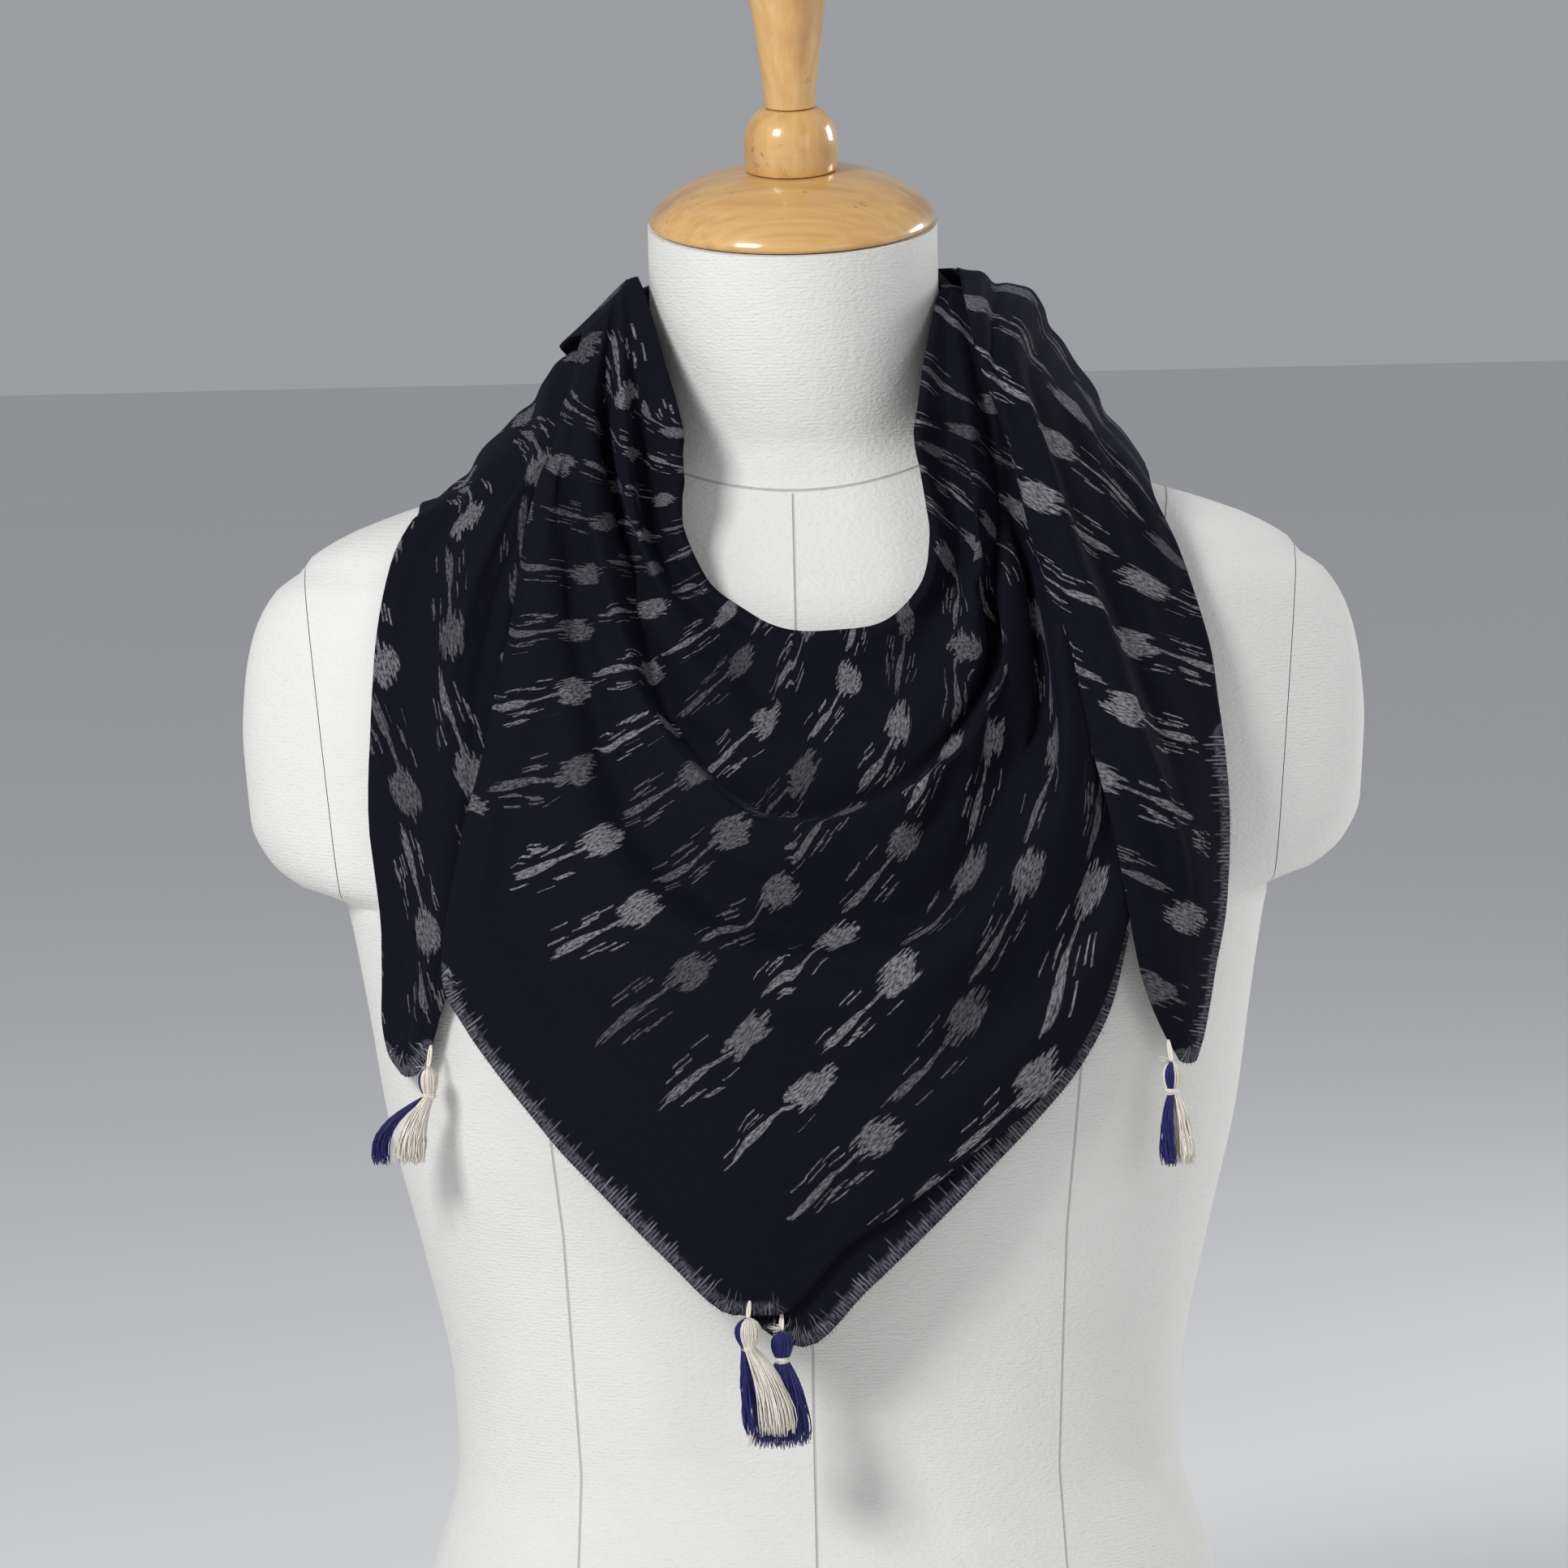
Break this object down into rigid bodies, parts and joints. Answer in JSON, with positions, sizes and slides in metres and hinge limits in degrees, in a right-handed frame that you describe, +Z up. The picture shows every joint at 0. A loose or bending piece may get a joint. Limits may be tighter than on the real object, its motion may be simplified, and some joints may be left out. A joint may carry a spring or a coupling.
{
  "type": "ikat scarf on a dress form",
  "caption": "Dark navy ikat cotton scarf folded to a triangle, worn point to the front with corner tassels, on a limbless white dress form with a turned wooden neck cap.",
  "frame": {"origin": "centre of the form's flat base, on the surface it stands on", "axes": "+Z up the form, -Y towards the front where the scarf's point hangs, +X to the right as seen from the front"},
  "size_m": [0.414, 0.2474, 0.7473],
  "materials": {
    "ikat_cotton": "matte woven cotton",
    "form_cover": "matte ribbed stretch cover",
    "varnished_wood": "glossy clear varnish",
    "tassel_thread": "soft cotton thread"
  },
  "bodies": {
    "root": {"form_torso": "form_cover", "form_arm_left": "form_cover", "form_arm_right": "form_cover", "neck_cap": "varnished_wood", "cap_ball": "varnished_wood", "cap_handle": "varnished_wood", "scarf_front": "ikat_cotton", "scarf_front_under": "ikat_cotton", "scarf_end_left": "ikat_cotton", "scarf_end_right": "ikat_cotton", "tassel_left": "tassel_thread", "tassel_right": "tassel_thread", "tassel_front_upper": "tassel_thread", "tassel_front_lower": "tassel_thread"}
  },
  "joints": []
}
